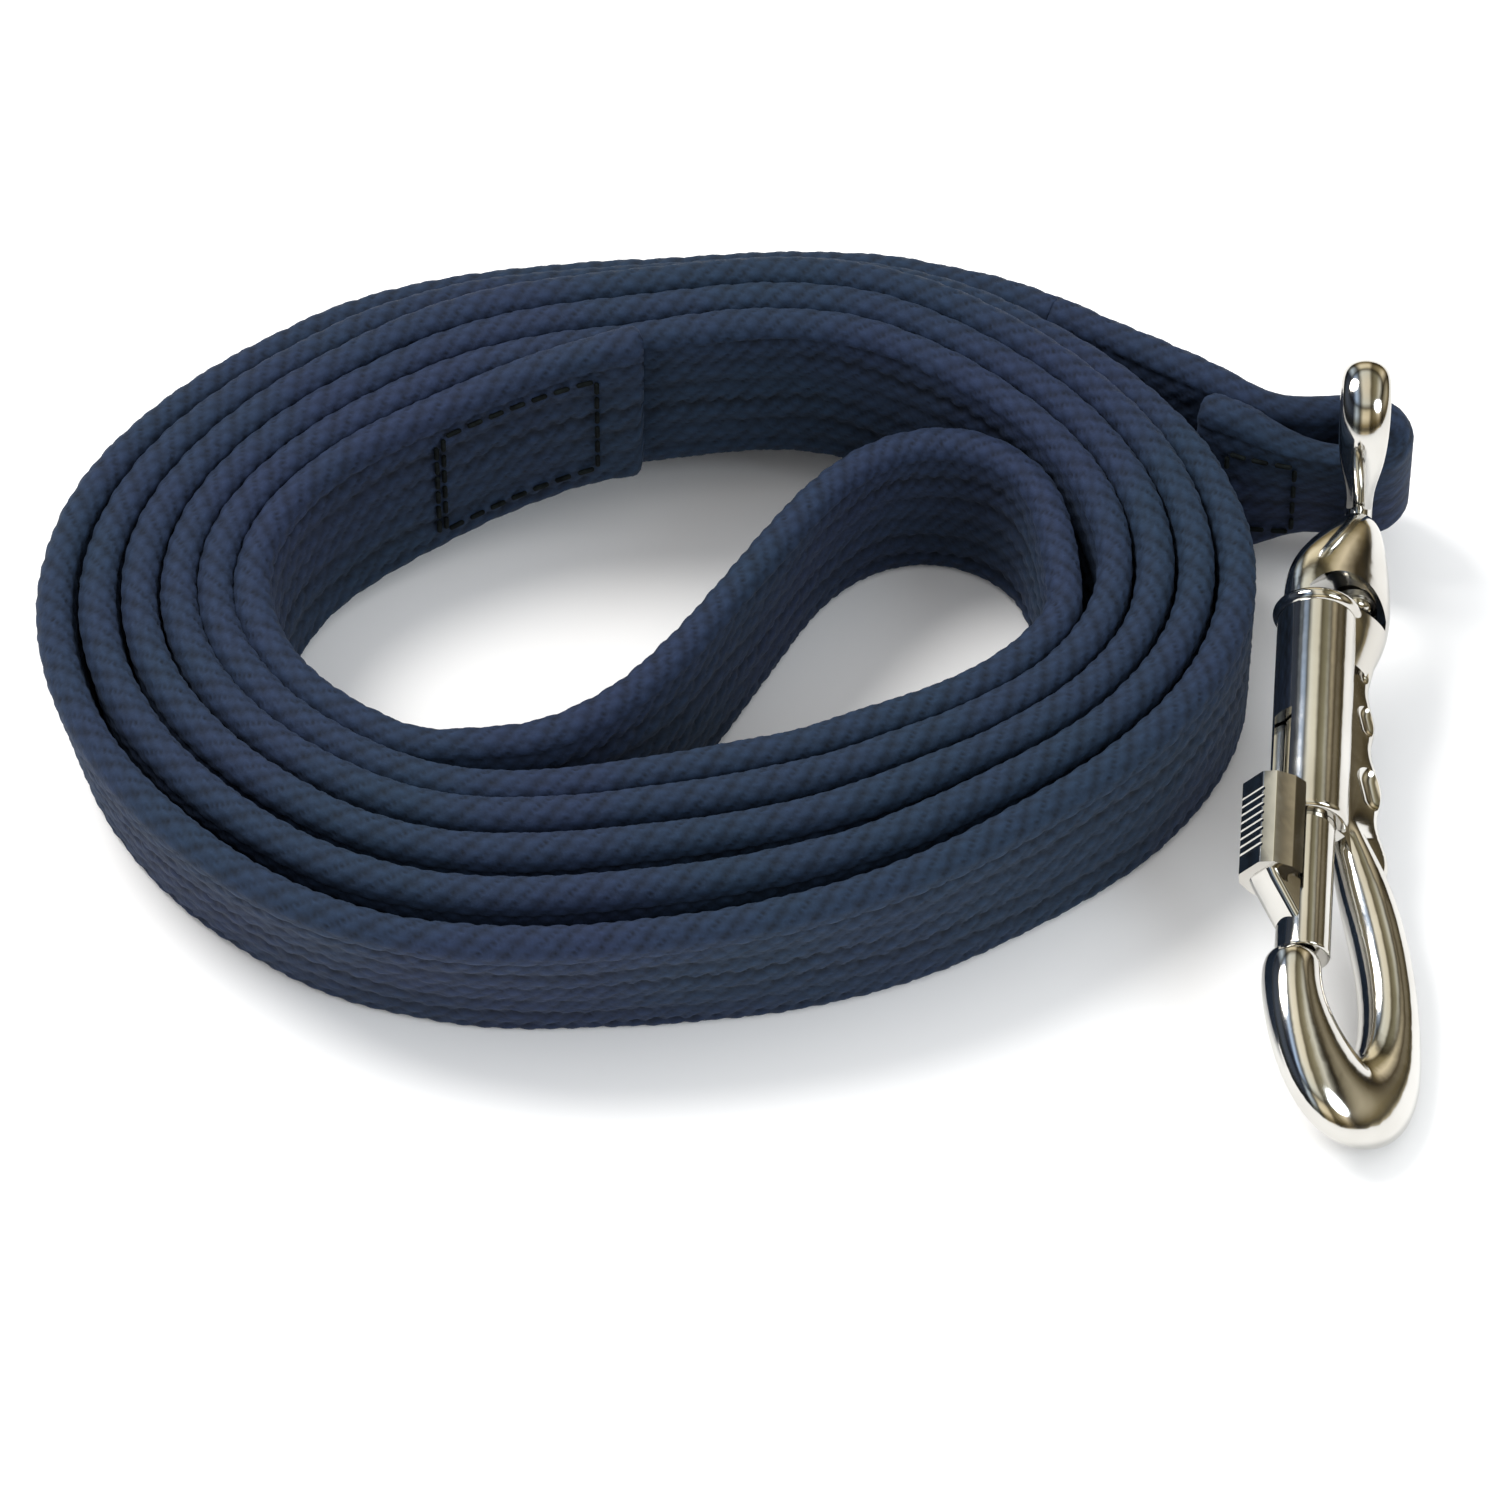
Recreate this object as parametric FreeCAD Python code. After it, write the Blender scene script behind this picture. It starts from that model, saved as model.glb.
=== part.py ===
import FreeCAD, Part
import math
import os

# Lead rope: one length of padded webbing, coiled flat and standing on its edge, with a sewn
# hand loop at the inner end and a swivel bolt snap sewn on at the outer end.
# Millimetres, +Z up. Origin: middle of the coil, on the surface it rests on.

# ---- webbing ---------------------------------------------------------------------------
WEB_WIDTH = 25.0            # flat width of the padded webbing
WEB_THICK = 4.2             # thickness over the padding
SPLINE_SAG = 0.955          # a cubic curve lies this much inside round control points
COVER_WALL = 0.9            # woven cover around the filling
CORE_GAP = 0.06             # cover to filling
ROW_STEP = 1.5              # spacing of the plan curve's points
SOFTENING = 5               # smoothing passes over the plan curve
SECTION_ROWS = 3            # points between the sections of the coil's solid

# Plan of the coil. Eight directions, anticlockwise from +X, in 45 degree steps.
FIRST_WRAP = (52.6, 42.9, 30.9, 37.5, 49.8, 40.8, 30.7, 35.2)   # radius of the first wrap
WRAP_PITCH = (5.00, 4.82, 4.74, 4.76, 4.48, 4.72, 4.85, 5.25)   # growth of radius per wrap
COIL_START = -6.0           # polar angle where the hand loop runs into the coil
COIL_END = -1745.0          # polar angle where the last wrap leaves the coil
LOOP_END_ANGLE = -268.0     # polar angle of the sewn end of the hand loop
LOOP_TURN_ANGLE = -132.0    # polar angle where the hand loop leaves the inner wrap
HAND_LOOP = ((-22.0, -27.9), (-13.0, -26.8), (-4.0, -21.4), (3.2, -13.0), (9.2, -2.6), (14.4, 7.2),
             (20.0, 16.4), (27.6, 22.8), (36.6, 24.4), (44.6, 20.6), (49.6, 12.4))   # fold of the hand loop

COIL_RISE = 8.5             # the inner wraps stand this much higher at the back of the coil
RISE_CENTRE = 82.0          # polar angle of the highest place
RISE_HALF_SPAN = 100.0      # the rise fades out over this angle to each side
RISE_FULL_WRAPS = 2.9       # wraps that rise fully
RISE_LAST_WRAP = 4.55       # wrap that stays down
FRONT_FAN = 15.0            # outward lean of the outermost wrap at the front
FAN_CENTRE = 258.0
FAN_FIRST_WRAP = 1.25       # wraps after this one fan out
SIDE_LEAN = 5.0             # outward lean of the left side
BACK_LEAN = -4.0            # lean of the back, towards the middle
HAND_LOOP_LEAN = 7.0        # lean of the folded hand loop, towards its own inside
SEWN_END_WIDTH = 26.6       # the sewing flattens the end of the hand loop to this width
SEWN_END_LIFT = 3.0         # and its end stands this much higher
SEWN_END_SPAN = 44.0        # polar angle over which both fade out

# ---- tail and swivel place ---------------------------------------------------------------
TAIL = ((43.2, 48.8), (50.8, 45.2), (58.8, 40.6), (66.2, 36.0), (72.6, 32.0),
        (78.6, 29.4))       # from the coil to the eye
EYE_BAR = (89.4, 26.6)      # upright far bar of the swivel eye, in plan
EYE_HEIGHT = 18.8           # middle of the swivel eye above the ground
BAR_RADIUS = 2.1
FOLD_CLEARANCE = 0.2
FOLD_SAG = 0.975            # the tight fold lies this much inside its control points
FOLD_WIDTH = 16.0           # the webbing is gathered to this width in the eye
FOLD_RISE = 6.1             # lower edge of the gathered fold above the ground
GATHER_LENGTH = 10.0        # length over which it gathers
SPREAD_LENGTH = 14.0        # length over which the two legs part around the bar
LEG_GAP = 0.12              # gap between the sewn legs
SEWN_LENGTH = 20.0          # from the bar to the turned-back end
TAIL_HINGE = (50.8, 45.2)   # the tail bends here, where it leaves the coil

# ---- stitching ---------------------------------------------------------------------------
THREAD = 0.32               # radius of the sewing thread
STITCH = 2.9                # pitch of the stitches
STITCH_LENGTH = 2.1
THREAD_CLEARANCE = 0.14
BOX_HEIGHT = 17.0           # height of a sewn box across the webbing
LOOP_BOX = (6.0, 27.0)      # from the hand loop's raw end
SNAP_BOX = (5.0, 13.5)      # from the turned-back end
SNAP_BOX_HEIGHT = 13.0

# ---- swivel bolt snap, along X from the bar of the eye to the hook, Y towards the thumb knob ---
SNAP_END = (83.3, -57.3, 9.7)   # point of the swivel axis inside the hook
SNAP_ROLL = 38.0            # the thumb knob is turned up by this angle
RUNNING = 0.08              # radial clearance of running fits
EYE_HALF = ((0.0, 3.0, 2.1, 2.1), (0.0, 8.0, 2.1, 2.1), (0.0, 13.9, 2.1, 2.1), (1.0, 16.3, 2.1, 3.1),
            (5.4, 16.2, 2.1, 3.2), (8.2, 12.6, 2.0, 3.2), (9.4, 8.0, 1.9, 2.8), (9.8, 4.2, 1.9, 1.9),
            (9.9, 1.4, 1.9, 1.8))   # along, across, half the stock in the ring's plane and out of it
STEM_RADIUS = 1.6
STEM_START = 9.0
BRIDGE_INSIDE = 24.8        # inner face of the yoke's bridge
WASHER_RADIUS = 2.6
WASHER_THICK = 0.8
HEAD_RADIUS = 2.3
HEAD_LENGTH = 1.3
YOKE = ((12.7, 0.0, 2.2, 2.0), (13.6, 0.0, 3.2, 2.6), (16.0, 0.6, 4.5, 3.2), (19.0, 1.5, 6.0, 3.6),
        (23.5, 2.5, 7.7, 4.0), (29.0, 2.9, 8.0, 4.2), (32.5, 3.3, 7.3, 3.8),
        (37.0, 3.8, 5.8, 3.0))   # along, middle, half Y, half Z
WINDOW = (-2.9, 9.2, 29.4)  # lower Y, upper Y and hook-side end of the window in the yoke
BORE_AXIS = 5.9             # Y of the barrel's axis
BARREL_RADIUS = 4.9
BARREL = (29.2, 61.8)       # ends of the barrel
BEAD_RADIUS = 0.9
BORE_FLOOR = 31.4
ROD_RADIUS = 3.4
SLOT = (46.9, 3.2)          # closed end and width of the slot for the knob's web
FIN_EDGE = ((32.0, -2.6), (35.5, -2.7), (39.3, -2.1), (43.6, -3.3), (47.6, -2.9), (52.6, -4.8),
            (57.8, -4.3), (62.6, -6.2), (66.4, -5.8), (71.0, -7.4))   # finger grips along the fin
FIN_THICK = 3.8
DIMPLES = ((36.8, -0.4, 1.7), (43.7, -1.1, 2.5), (53.4, -2.1, 3.5))   # place and half length
HOOK = ((57.0, 1.6, 1.5), (61.5, -0.6, 2.4), (66.0, -2.7, 3.3), (71.0, -4.9, 3.65), (77.0, -6.9, 3.65),
        (83.0, -8.0, 3.75), (88.5, -8.2, 4.2), (93.5, -7.6, 5.2), (97.6, -5.2, 6.3), (98.4, -1.6, 6.6),
        (96.2, 2.0, 6.0), (92.2, 5.0, 4.9), (88.2, 6.9, 4.0), (84.8, 7.5, 3.7), (82.9, 7.3, 3.6),
        (82.0, 7.1, 3.2), (81.5, 7.1, 2.6))   # along, Y, half the stock in the hook's plane
HOOK_RADIUS = 3.65          # half the stock across the hook's plane
BOLT = (47.2, 81.1)         # ends of the bolt's rod
WEB_PLATE = 2.8             # thickness of the web between rod and knob
KNOB = (58.8, 72.2)         # ends of the thumb knob
KNOB_OUTLINE = ((9.4, 3.7), (11.2, 3.9), (13.6, 3.2), (14.8, 1.9))   # Y, half width
KNOB_SADDLE = 5.15          # radius hollowed out of the knob around the barrel
KNOB_FOOT = ((72.0, 8.6), (72.0, 13.4), (73.2, 12.6), (76.8, 9.4), (77.6, 8.6))   # closed hook-side end
KNOB_FOOT_WIDTH = 4.6
GRIP_RIBS = 8
SPRING_WIRE = 0.35
SPRING_RADIUS = 2.8
SPRING_COILS = 6


# ---- plan curve of the webbing -------------------------------------------------------------
def vec(x, y, z):
    return FreeCAD.Vector(x, y, z)


def snap_heading():
    """Level direction of the snap from the eye to the hook, and how far it points down."""
    along = vec(*SNAP_END) - vec(*EYE_BAR, EYE_HEIGHT)
    level = vec(along.x, along.y, 0)
    return level.normalize(), math.atan2(-along.z, math.hypot(along.x, along.y))


def smooth_step(t):
    t = max(0.0, min(1.0, t))
    return t * t * (3.0 - 2.0 * t)


def blend(a, b, t):
    return a + (b - a) * t


def periodic(values, angle):
    """Smooth value at an angle, from values given every 360/len(values) degrees."""
    n = len(values)
    place = (angle % 360.0) / 360.0 * n
    i = int(place)
    t = place - i
    p0, p1, p2, p3 = (values[(i + k) % n] for k in (-1, 0, 1, 2))
    cubic = 3 * (p1 - p2) + p3 - p0
    return p1 + 0.5 * t * (p2 - p0 + t * (2 * p0 - 5 * p1 + 4 * p2 - p3 + t * cubic))


def angle_from(angle, centre):
    return abs((angle - centre + 180.0) % 360.0 - 180.0)


def wrap_place(angle, wraps_inward=0):
    """Point of the coil at a polar angle that keeps falling as the webbing winds clockwise."""
    wrap = -angle / 360.0 - wraps_inward
    radius = periodic(FIRST_WRAP, angle) + periodic(WRAP_PITCH, angle) * wrap
    return radius * math.cos(math.radians(angle)), radius * math.sin(math.radians(angle))


def coil_rise(angle):
    wrap = -angle / 360.0
    span = smooth_step(1.0 - angle_from(angle, RISE_CENTRE) / RISE_HALF_SPAN)
    full = smooth_step((RISE_LAST_WRAP - wrap) / (RISE_LAST_WRAP - RISE_FULL_WRAPS))
    return COIL_RISE * span * full


def coil_lean(angle):
    """Lean away from the middle of the coil, in degrees."""
    wrap = -angle / 360.0
    front = smooth_step(1.0 - angle_from(angle, FAN_CENTRE) / 115.0)
    left = smooth_step(1.0 - angle_from(angle, 205.0) / 105.0)
    back = smooth_step(1.0 - angle_from(angle, 90.0) / 80.0)
    fan = FRONT_FAN * front * max(0.0, (wrap - FAN_FIRST_WRAP) / 3.0) ** 1.5
    return fan + SIDE_LEAN * left + BACK_LEAN * back


def catmull_rom(points, per_span):
    """Smooth rows through the given rows of numbers, without the two outermost rows."""
    rows = []
    for p0, p1, p2, p3 in zip(points, points[1:], points[2:], points[3:]):
        for k in range(per_span):
            t = k / per_span
            rows.append(tuple(b + 0.5 * t * (c - a + t * (2 * a - 5 * b + 4 * c - d
                                                          + t * (3 * (b - c) + d - a)))
                              for a, b, c, d in zip(p0, p1, p2, p3)))
    rows.append(tuple(points[-2]))
    return rows


def respace(rows, step):
    """Rows at even distances along the plan curve; the first two numbers are x and y."""
    lengths = [0.0]
    for a, b in zip(rows, rows[1:]):
        lengths.append(lengths[-1] + math.hypot(b[0] - a[0], b[1] - a[1]))
    count = max(2, round(lengths[-1] / step))
    result = []
    i = 0
    for k in range(count + 1):
        want = lengths[-1] * k / count
        while i < len(rows) - 2 and lengths[i + 1] < want:
            i += 1
        t = (want - lengths[i]) / (lengths[i + 1] - lengths[i])
        result.append(tuple(blend(a, b, t) for a, b in zip(rows[i], rows[i + 1])))
    return result


def soften(rows, passes):
    for _ in range(passes):
        inner = [tuple((a + 2 * b + c) / 4 for a, b, c in zip(*three))
                 for three in zip(rows, rows[1:], rows[2:])]
        rows = [rows[0]] + inner + [rows[-1]]
    return rows


def sewn_end(angle):
    """Extra rise and width of the hand loop towards its sewn end."""
    near = smooth_step(1.0 - (angle - LOOP_END_ANGLE) / SEWN_END_SPAN)
    return SEWN_END_LIFT * near, (SEWN_END_WIDTH - WEB_WIDTH) * near


def coil_rows():
    """Rows from the hand loop's end to the tail: x, y, rise, lean to the left of travel in degrees,
    width, and the angle by which the webbing follows the swivel eye's own slant."""
    rows = []
    angle = LOOP_END_ANGLE
    while angle < LOOP_TURN_ANGLE:
        x, y = wrap_place(angle, 1)
        lift, wider = sewn_end(angle)
        rows.append((x, y, coil_rise(angle) + lift, -coil_lean(angle), WEB_WIDTH + wider, 0.0))
        angle += 4.0
    fold = len(HAND_LOOP)
    for k, (x, y) in enumerate(HAND_LOOP):
        lean = -HAND_LOOP_LEAN * math.sin(math.pi * smooth_step((k - 2) / (fold - 2)))
        rows.append((x, y, 0.0, lean, WEB_WIDTH, 0.0))
    angle = COIL_START
    while angle > COIL_END:
        x, y = wrap_place(angle)
        rows.append((x, y, coil_rise(angle), coil_lean(angle), WEB_WIDTH, 0.0))
        angle -= 4.0
    return rows


def tail_leg():
    """The outer leg of the tail, ending beside the bar of the eye."""
    reach = (BAR_RADIUS + FOLD_CLEARANCE + WEB_THICK / 2) / FOLD_SAG
    heading = math.atan2(EYE_BAR[1] + reach - TAIL[-1][1], EYE_BAR[0] - TAIL[-1][0])
    end = (EYE_BAR[0] - reach * math.sin(heading), EYE_BAR[1] + reach * math.cos(heading))
    beyond = (2 * end[0] - TAIL[-1][0], 2 * end[1] - TAIL[-1][1])
    return [*TAIL, end], beyond, heading, reach


def bar_rows():
    """Half turn of the webbing around the bar, and the leg that comes back beside the first."""
    points, beyond, heading, reach = tail_leg()
    rows = []
    for k in range(1, 12):
        turn = heading + math.radians(90.0 - 15.0 * k)
        rows.append((EYE_BAR[0] + reach * math.cos(turn), EYE_BAR[1] + reach * math.sin(turn)))
    leg = respace(catmull_rom([wrap_place(COIL_END), *points, beyond], 8), 2.0)
    leg = respace(soften(leg, 4), 2.0)[::-1]
    length = 0.0
    for a, b, c in zip(leg, leg[1:], leg[2:]):
        length += math.dist(a, b)
        if length > SEWN_LENGTH:
            break
        tangent = math.atan2(a[1] - c[1], a[0] - c[0])
        apart = blend(2 * reach, WEB_THICK + LEG_GAP, smooth_step(length / SPREAD_LENGTH))
        rows.append((b[0] + apart * math.sin(tangent), b[1] - apart * math.cos(tangent)))
    return rows


def gathered(point):
    """Row of the tail at a point: the webbing narrows towards the eye."""
    near = smooth_step(1.0 - (math.dist(point, EYE_BAR) - 6.0) / GATHER_LENGTH)
    return (*point, FOLD_RISE * near, 0.0, blend(WEB_WIDTH, FOLD_WIDTH, near), snap_heading()[1] * near)


def spread_evenly(rows):
    """Rows at the standard step along a smooth curve through all the given rows."""
    first = tuple(2 * a - b for a, b in zip(rows[0], rows[1]))
    last = tuple(2 * a - b for a, b in zip(rows[-1], rows[-2]))
    return respace(catmull_rom([first, *rows, last], 6), ROW_STEP)


def all_rows():
    """The whole length of webbing, from the sewn end of the hand loop to the turned-back end."""
    lead_in = coil_rows() + [gathered(p) for p in tail_leg()[0]]
    fold = [gathered(p) for p in tail_leg()[0][-1:] + bar_rows()]
    return soften(spread_evenly(lead_in), SOFTENING) + spread_evenly(fold)[1:]


# ---- solids ---------------------------------------------------------------------------------
def directions(row, along):
    """Middle of the webbing at a row, the direction across it, and the one out of its left face."""
    up = vec(0, 0, 1)
    lean = math.radians(row[3])
    upright = up * math.cos(lean) + up.cross(along) * math.sin(lean)
    lift = WEB_THICK / 2 * (1 - math.cos(lean))
    middle = vec(row[0], row[1], max(0.0, row[2]) + lift) + upright * (row[4] / 2)
    slant = snap_heading()[0] * math.tan(row[5])
    middle = middle + slant * (middle.z - EYE_HEIGHT)
    across = (upright + slant).normalize()
    return middle, across, across.cross(along).normalize()


def section(rows, i, shrink):
    """Ring of control points across the webbing at row i, a flat band with round edges."""
    before, row, after = rows[max(i - 1, 0)], rows[i], rows[min(i + 1, len(rows) - 1)]
    along = vec(after[0] - before[0], after[1] - before[1], 0).normalize()
    middle, across, outward = directions(row, along)
    radius = WEB_THICK / 2 - shrink
    flat = row[4] / 2 - WEB_THICK / 2
    control = radius / SPLINE_SAG
    ring = []
    for end in (1, -1):
        for k in range(7):
            turn = math.radians(30.0 * k) if end == 1 else math.radians(180.0 + 30.0 * k)
            ring.append(middle + across * (end * flat + control * math.sin(turn))
                        + outward * (control * math.cos(turn)))
    return ring


def tube_face(rings, endless=False):
    """Smooth surface along rings of control points, closed around; endless joins the last to the first."""
    surface = Part.BSplineSurface()
    count, around = len(rings), len(rings[0])
    steps = [1] * (count + 1) if endless else [4] + [1] * (count - 4) + [4]
    surface.buildFromPolesMultsKnots(rings, steps, [1] * (around + 1), list(range(len(steps))),
                                     list(range(around + 1)), endless, True, 3, 3)
    return surface.toShape()


def end_wire(face, low):
    """Closed edge of a tube face at its first or last ring."""
    surface = face.Surface
    u = surface.bounds()[0 if low else 1]
    return Part.Wire([surface.uIso(u).toShape()])


def band_rings(rows, shrink, spacing):
    picks = list(range(0, len(rows) - spacing, spacing)) + [len(rows) - 1]
    return [section(rows, i, shrink) for i in picks]


def tube_solid(rings):
    """Solid along rings of control points, with flat ends."""
    face = tube_face(rings)
    caps = [Part.Face(end_wire(face, low)) for low in (True, False)]
    shell = Part.Shell([face, *caps])
    shell.sewShape()
    solid = Part.makeSolid(Part.Shell(shell.Faces))
    if solid.Volume < 0:
        solid.reverse()
    return solid


def band(rows, shrink, spacing):
    """Solid band of webbing, its skin moved inward by shrink."""
    return tube_solid(band_rings(rows, shrink, spacing))


def sleeve(rows, spacing):
    """Woven cover: a flat tube, open at both ends."""
    return band(rows, 0.0, spacing).cut(band(rows, COVER_WALL, spacing)).Solids[0]


def filling(rows, spacing):
    return band(rows, COVER_WALL + CORE_GAP, spacing)


def split_at_hinge(rows):
    """The coil's rows and the tail's rows, with one row left out between them."""
    hinge = min(range(len(rows)), key=lambda i: math.dist(rows[i][:2], TAIL_HINGE))
    return rows[:hinge], rows[hinge + 1:]


# ---- stitching --------------------------------------------------------------------------------
def capsule(start, end, radius):
    """Short piece of thread with round ends."""
    along = (end - start).normalize()
    side = along.cross(vec(0, 0, 1) if abs(along.z) < 0.9 else vec(1, 0, 0)).normalize()
    middle_start, middle_end = start + along * radius, end - along * radius
    diagonal = math.sqrt(0.5) * radius
    first = Part.Arc(start, middle_start + (side - along) * diagonal, middle_start + side * radius)
    last = Part.Arc(middle_end + side * radius, middle_end + (side + along) * diagonal, end)
    straight = Part.makeLine(middle_start + side * radius, middle_end + side * radius)
    outline = Part.Wire([first.toShape(), straight, last.toShape(), Part.makeLine(end, start)])
    return Part.Face(outline).revolve(start, along, 360)


def on_face(rows, distance, height):
    """Place for thread on the left face of the webbing, at a distance from its first row."""
    i = distance / ROW_STEP
    low = int(i)
    row = [blend(a, b, i - low) for a, b in zip(rows[low], rows[low + 1])]
    along = vec(rows[low + 1][0] - rows[low][0], rows[low + 1][1] - rows[low][1], 0).normalize()
    middle, across, outward = directions(row, along)
    return middle + across * height + outward * (WEB_THICK / 2 + THREAD + THREAD_CLEARANCE)


def stitch_line(rows, start, end):
    """Stitches between two (distance, height) places on the webbing's left face."""
    count = max(1, round(math.dist(start, end) / STITCH))
    half = STITCH_LENGTH / 2 / math.dist(start, end)
    stitches = []
    for k in range(count):
        middle = (k + 0.5) / count
        places = [[blend(a, b, middle + d) for a, b in zip(start, end)] for d in (-half, half)]
        stitches.append(capsule(*(on_face(rows, *place) for place in places), THREAD))
    return stitches


def sewn_box(rows, near, far, height):
    """Box of stitches, from a near to a far distance along the webbing."""
    top = height / 2
    corners = [(near, -top), (near, top), (far, top), (far, -top), (near, -top)]
    return [stitch for start, end in zip(corners, corners[1:]) for stitch in stitch_line(rows, start, end)]


def loop_stitching(rows):
    """Box that closes the hand loop; its far line is sewn twice, where the sewing starts and ends."""
    near, far = LOOP_BOX
    top = BOX_HEIGHT / 2
    tack = stitch_line(rows, (far + 3 * THREAD, top - 1), (far + 3 * THREAD, -top))
    return Part.Compound(sewn_box(rows, near, far, BOX_HEIGHT) + tack)


def snap_end_stitching(rows):
    """The same box of stitches seen on both outer faces of the doubled tail."""
    near, far = SNAP_BOX
    turn = max(range(len(rows)), key=lambda i: math.dist(rows[i][:2], TAIL_HINGE))
    length = (len(rows) - 1) * ROW_STEP
    mirror = 2 * turn * ROW_STEP - length
    return Part.Compound(sewn_box(rows, length - far, length - near, SNAP_BOX_HEIGHT)
                         + sewn_box(rows, mirror + near, mirror + far, SNAP_BOX_HEIGHT))


# ---- swivel bolt snap -----------------------------------------------------------------------
def snap_place(roll):
    """Placement of the snap's frame: X along the swivel axis, Y turned up by roll."""
    start = vec(*EYE_BAR, EYE_HEIGHT)
    along = (vec(*SNAP_END) - start).normalize()
    level = along.cross(vec(0, 0, 1)).normalize()
    upward = level.cross(along)
    side = level * math.cos(math.radians(roll)) + upward * math.sin(math.radians(roll))
    normal = along.cross(side)
    return FreeCAD.Placement(FreeCAD.Matrix(along.x, side.x, normal.x, start.x,
                                            along.y, side.y, normal.y, start.y,
                                            along.z, side.z, normal.z, start.z, 0, 0, 0, 1))


def round_ring(middle, side, normal, half_side, half_normal):
    """Twelve control points of an ellipse."""
    return [middle + side * (math.cos(math.radians(30 * k)) * half_side / SPLINE_SAG)
            + normal * (math.sin(math.radians(30 * k)) * half_normal / SPLINE_SAG) for k in range(12)]


def flat_path_rings(points, endless):
    """Rings around a path in the XY plane; a point is (x, y, half in plane, half out of plane)."""
    rings = []
    last = len(points) - 1
    for i, (x, y, half_side, half_normal) in enumerate(points):
        a = points[i - 1 if endless else max(i - 1, 0)]
        b = points[(i + 1) % len(points) if endless else min(i + 1, last)]
        along = vec(b[0] - a[0], b[1] - a[1], 0).normalize()
        rings.append(round_ring(vec(x, y, 0), vec(0, 0, 1).cross(along), vec(0, 0, 1),
                                half_side, half_normal))
    return rings


def rod(start, end, radius, middle_y=0.0):
    return Part.makeCylinder(radius, end - start, vec(start, middle_y, 0), vec(1, 0, 0))


def end_circles(shape, x):
    """Edges of a turned shape that lie wholly at one place along X."""
    return [e for e in shape.Edges if abs(e.BoundBox.XMin - x) < 1e-6 and abs(e.BoundBox.XMax - x) < 1e-6]


def swivel_eye():
    """Closed ring with a straight bar for the webbing, and the stem with its peened head."""
    points = list(EYE_HALF) + [(x, -y, side, w) for x, y, side, w in reversed(EYE_HALF)]
    ring = Part.makeSolid(Part.Shell([tube_face(flat_path_rings(points, True), True)]))
    if ring.Volume < 0:
        ring.reverse()
    head_start = BRIDGE_INSIDE + 0.1 + WASHER_THICK + 0.05
    head = rod(head_start, head_start + HEAD_LENGTH, HEAD_RADIUS)
    head = head.makeFillet(0.9, end_circles(head, head_start + HEAD_LENGTH))
    return ring.fuse([rod(STEM_START, head_start + 0.2, STEM_RADIUS), head]).removeSplitter()


def swivel_washer():
    start = BRIDGE_INSIDE + 0.1
    disc = rod(start, start + WASHER_THICK, WASHER_RADIUS)
    return disc.cut(rod(start - 1, start + 2, STEM_RADIUS + RUNNING))


def yoke():
    """Bridge around the stem, widening to the barrel, with an arched window behind the bridge."""
    rings = [round_ring(vec(x, y, 0), vec(0, 1, 0), vec(0, 0, 1), half_y, half_z)
             for x, y, half_y, half_z in YOKE]
    low, high, end = WINDOW
    middle, half = (low + high) / 2, (high - low) / 2
    top = BRIDGE_INSIDE + half * 0.55
    arch = Part.Arc(vec(top, low, -9), vec(BRIDGE_INSIDE - 0.35, middle, -9), vec(top, high, -9)).toShape()
    sides = Part.makePolygon([vec(top, high, -9), vec(end, high, -9), vec(end, low, -9), vec(top, low, -9)])
    window = Part.Face(Part.Wire([arch, *sides.Edges])).extrude(vec(0, 0, 18))
    room = rod(BRIDGE_INSIDE, end, WASHER_RADIUS + 0.3)
    return tube_solid(rings).cut(window.fuse(room))


def fin():
    """Finger grip beside the barrel: a plate with a wavy, rounded edge and sunk ovals."""
    edge = Part.BSplineCurve()
    edge.interpolate([vec(x, y, -FIN_THICK / 2) for x, y in FIN_EDGE])
    first, last = FIN_EDGE[0], FIN_EDGE[-1]
    inside = [vec(last[0], last[1], 0), vec(last[0] + 0.5, -3.8, 0), vec(BARREL[1] + 0.4, 1.6, 0),
              vec(BARREL[1] - 1, BORE_AXIS, 0), vec(first[0], BORE_AXIS, 0), vec(first[0], first[1], 0)]
    inside = [p - vec(0, 0, FIN_THICK / 2) for p in inside]
    plate = Part.Face(Part.Wire([edge.toShape(), *Part.makePolygon(inside).Edges]))
    plate = plate.extrude(vec(0, 0, FIN_THICK))
    rounded = [e for e in plate.Edges if e.Curve.TypeId == "Part::GeomBSplineCurve"]
    plate = plate.makeFillet(FIN_THICK * 0.42, rounded)
    for x, y, half in DIMPLES:
        for face in (-1, 1):
            radius = half * 0.7
            place = vec(x, y, face * (FIN_THICK / 2 + radius * 0.7))
            reach = vec(half, -half / 3, 0)
            plate = plate.cut(capsule(place - reach, place + reach, radius))
    return plate


def hook():
    """Round hook from the end of the fin, around and back to the tip under the bolt."""
    points = [(x, y, half, min(half, HOOK_RADIUS)) for x, y, half in HOOK]
    return tube_solid(flat_path_rings(points, False))


def snap_body():
    barrel = rod(*BARREL, BARREL_RADIUS, BORE_AXIS)
    barrel = barrel.makeFillet(0.8, end_circles(barrel, BARREL[0]) + end_circles(barrel, BARREL[1]))
    bead = Part.makeTorus(BARREL_RADIUS - 0.3, BEAD_RADIUS, vec(BARREL[0] + BEAD_RADIUS, BORE_AXIS, 0),
                          vec(1, 0, 0))
    body = barrel.fuse([bead, yoke(), fin(), hook()])
    bore = rod(BORE_FLOOR, BARREL[1] + 9, ROD_RADIUS + RUNNING, BORE_AXIS)
    slot_start, slot_width = SLOT
    slot = Part.makeBox(BARREL[1] + 9 - slot_start, 9, slot_width,
                        vec(slot_start, BORE_AXIS, -slot_width / 2))
    stem = rod(STEM_START, BRIDGE_INSIDE + 1, STEM_RADIUS + RUNNING)
    return body.cut([bore, slot, stem]).removeSplitter()


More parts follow.
